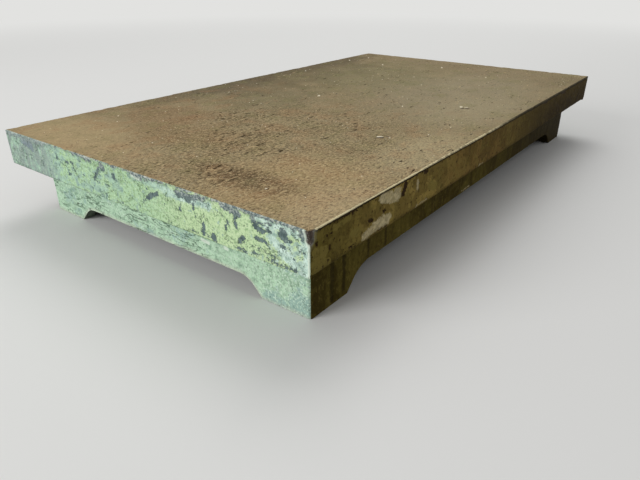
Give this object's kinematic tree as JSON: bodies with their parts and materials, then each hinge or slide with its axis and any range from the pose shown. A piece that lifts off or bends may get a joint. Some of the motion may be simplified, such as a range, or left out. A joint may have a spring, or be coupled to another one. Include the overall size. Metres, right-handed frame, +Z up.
{
  "type": "cast-iron surface plate",
  "caption": "Cast-iron surface plate with a deep rim, an arched skirt on corner feet and a ribbed hollow underside; a flat face to mark out and check work on.",
  "frame": {"origin": "on the floor, under the middle of the plate", "axes": "+X across the plate, +Y along it, +Z up out of the worked top"},
  "size_m": [0.4, 0.69, 0.092],
  "materials": {
    "painted_casting": "worn green paint over grey iron on the sides, rusty bare iron on top"
  },
  "bodies": {
    "root": {"surface_plate": "painted_casting"}
  },
  "joints": []
}
